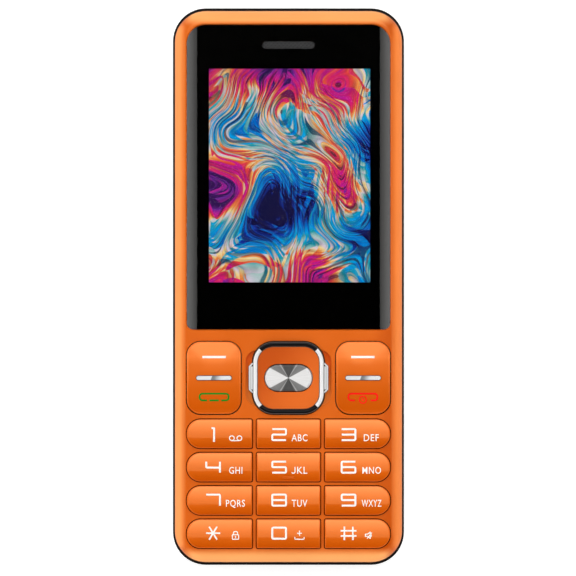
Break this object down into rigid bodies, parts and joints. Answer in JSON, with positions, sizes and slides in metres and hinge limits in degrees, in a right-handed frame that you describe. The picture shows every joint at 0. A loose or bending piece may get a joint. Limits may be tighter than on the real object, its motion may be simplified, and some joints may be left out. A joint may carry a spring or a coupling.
{
  "type": "feature phone",
  "caption": "Slim bar phone with a colour display, number keys, a four-way key, rocking side keys, a clip-on back cover and a removable battery.",
  "frame": {"origin": "middle of the flat back of the battery cover, with the phone lying on its back", "axes": "+Z leaves the screen, +Y runs along the phone towards the earpiece, +X to the right of the screen"},
  "size_m": [0.0526, 0.1268, 0.0136],
  "materials": {
    "orange_shell": "glossy orange paint under clear lacquer",
    "orange_keys": "glossy orange moulded keys",
    "black_shell": "satin black with fine grain",
    "clear_window": "clear polished window",
    "black_print": "black screen print",
    "black_foam": "black foam seal",
    "bright_steel": "pressed bright steel",
    "white_plastic": "white light guide",
    "display_glass": "display cell",
    "flex_film": "amber film",
    "mesh_cloth": "fine woven mesh",
    "chrome_trim": "polished chrome plating",
    "spun_metal": "spun metal with radial sheen",
    "silicone": "grey silicone rubber",
    "board_green": "green solder mask",
    "chip_black": "moulded chip black",
    "brass_coil": "brass weight and shaft",
    "camera_glass": "dark camera window",
    "torch_clear": "clear torch lens",
    "cell_wrap": "dark printed wrap, no words",
    "antenna_copper": "gold-plated antenna film"
  },
  "bodies": {
    "root": {"front_housing": "orange_shell", "display_window": "clear_window", "window_print": "black_print", "display_gasket": "black_foam", "lcd_frame": "bright_steel", "lcd_backlight": "white_plastic", "lcd_panel": "display_glass", "lcd_flex": "flex_film", "earpiece_mesh": "mesh_cloth", "earpiece_receiver": "bright_steel", "keypad_mat": "silicone", "dome_sheet": "bright_steel", "main_board": "board_green", "board_chips": "chip_black", "rf_shield": "bright_steel", "cpu_shield": "bright_steel", "battery_connector": "chip_black", "sim_socket_left": "bright_steel", "sim_socket_right": "bright_steel", "card_socket": "bright_steel", "usb_port": "bright_steel", "headphone_jack": "chip_black", "microphone": "bright_steel", "torch_led": "white_plastic", "torch_lens": "torch_clear", "loudspeaker": "chip_black", "speaker_mesh": "mesh_cloth", "vibration_motor": "bright_steel", "camera_module": "chip_black", "camera_window": "camera_glass", "camera_ring": "chrome_trim", "rear_housing": "black_shell", "antenna": "antenna_copper", "housing_screws": "bright_steel"},
    "left_key": {"left_key": "orange_keys", "left_key_bar": "chrome_trim"},
    "right_key": {"right_key": "orange_keys", "right_key_bar": "chrome_trim"},
    "nav_tilt": {"nav_web": "silicone"},
    "nav_key": {"nav_plate": "orange_keys", "nav_ring": "chrome_trim", "nav_wings": "chrome_trim"},
    "ok_key": {"ok_key": "spun_metal"},
    "battery_cover": {"battery_cover": "black_shell"},
    "battery": {"battery": "cell_wrap"},
    "vibration_weight": {"vibration_weight": "brass_coil"},
    "key_1": {"key_1": "orange_keys"},
    "key_2": {"key_2": "orange_keys"},
    "key_3": {"key_3": "orange_keys"},
    "key_4": {"key_4": "orange_keys"},
    "key_5": {"key_5": "orange_keys"},
    "key_6": {"key_6": "orange_keys"},
    "key_7": {"key_7": "orange_keys"},
    "key_8": {"key_8": "orange_keys"},
    "key_9": {"key_9": "orange_keys"},
    "key_star": {"key_star": "orange_keys"},
    "key_0": {"key_0": "orange_keys"},
    "key_hash": {"key_hash": "orange_keys"}
  },
  "joints": [
    {"name": "key_1_press", "type": "slide", "parent": "root", "child": "key_1", "axis": [0, 0, -1], "range_m": [0, 0.0004], "stiffness_N_per_m": 400, "springref_m": -0.0002},
    {"name": "key_2_press", "type": "slide", "parent": "root", "child": "key_2", "axis": [0, 0, -1], "range_m": [0, 0.0004], "stiffness_N_per_m": 400, "springref_m": -0.0002},
    {"name": "key_3_press", "type": "slide", "parent": "root", "child": "key_3", "axis": [0, 0, -1], "range_m": [0, 0.0004], "stiffness_N_per_m": 400, "springref_m": -0.0002},
    {"name": "key_4_press", "type": "slide", "parent": "root", "child": "key_4", "axis": [0, 0, -1], "range_m": [0, 0.0004], "stiffness_N_per_m": 400, "springref_m": -0.0002},
    {"name": "key_5_press", "type": "slide", "parent": "root", "child": "key_5", "axis": [0, 0, -1], "range_m": [0, 0.0004], "stiffness_N_per_m": 400, "springref_m": -0.0002},
    {"name": "key_6_press", "type": "slide", "parent": "root", "child": "key_6", "axis": [0, 0, -1], "range_m": [0, 0.0004], "stiffness_N_per_m": 400, "springref_m": -0.0002},
    {"name": "key_7_press", "type": "slide", "parent": "root", "child": "key_7", "axis": [0, 0, -1], "range_m": [0, 0.0004], "stiffness_N_per_m": 400, "springref_m": -0.0002},
    {"name": "key_8_press", "type": "slide", "parent": "root", "child": "key_8", "axis": [0, 0, -1], "range_m": [0, 0.0004], "stiffness_N_per_m": 400, "springref_m": -0.0002},
    {"name": "key_9_press", "type": "slide", "parent": "root", "child": "key_9", "axis": [0, 0, -1], "range_m": [0, 0.0004], "stiffness_N_per_m": 400, "springref_m": -0.0002},
    {"name": "key_star_press", "type": "slide", "parent": "root", "child": "key_star", "axis": [0, 0, -1], "range_m": [0, 0.0004], "stiffness_N_per_m": 400, "springref_m": -0.0002},
    {"name": "key_0_press", "type": "slide", "parent": "root", "child": "key_0", "axis": [0, 0, -1], "range_m": [0, 0.0004], "stiffness_N_per_m": 400, "springref_m": -0.0002},
    {"name": "key_hash_press", "type": "slide", "parent": "root", "child": "key_hash", "axis": [0, 0, -1], "range_m": [0, 0.0004], "stiffness_N_per_m": 400, "springref_m": -0.0002},
    {"name": "ok_key_press", "type": "slide", "parent": "root", "child": "ok_key", "axis": [0, 0, -1], "range_m": [0, 0.0003], "stiffness_N_per_m": 500, "springref_m": -0.0002},
    {"name": "left_key_rock", "type": "hinge", "parent": "root", "child": "left_key", "pos_m": [-0.01698, -0.02078, 0.01075], "axis": [1, 0, 0], "range_deg": [-2.5, 2.5], "stiffness_Nm_per_rad": 0.05},
    {"name": "right_key_rock", "type": "hinge", "parent": "root", "child": "right_key", "pos_m": [0.01698, -0.02078, 0.01075], "axis": [1, 0, 0], "range_deg": [-2.5, 2.5], "stiffness_Nm_per_rad": 0.05},
    {"name": "nav_up_down", "type": "hinge", "parent": "root", "child": "nav_tilt", "pos_m": [0, -0.02078, 0.01151], "axis": [1, 0, 0], "range_deg": [-2, 2], "stiffness_Nm_per_rad": 0.06},
    {"name": "nav_left_right", "type": "hinge", "parent": "nav_tilt", "child": "nav_key", "pos_m": [0, -0.02078, 0.01151], "axis": [0, 1, 0], "range_deg": [-2, 2], "stiffness_Nm_per_rad": 0.06},
    {"name": "battery_cover_off", "type": "slide", "parent": "root", "child": "battery_cover", "axis": [0, 0, -1], "range_m": [0, 0.024]},
    {"name": "battery_out", "type": "slide", "parent": "root", "child": "battery", "axis": [0, 0, -1], "range_m": [0, 0.012]},
    {"name": "vibration_spin", "type": "hinge", "parent": "root", "child": "vibration_weight", "pos_m": [0.0125, 0.04997, 0.00565], "axis": [1, 0, 0], "continuous": true}
  ],
  "couplings": [
    {"joint": "battery_out", "follows": "battery_cover_off", "ratio": 0.5}
  ]
}
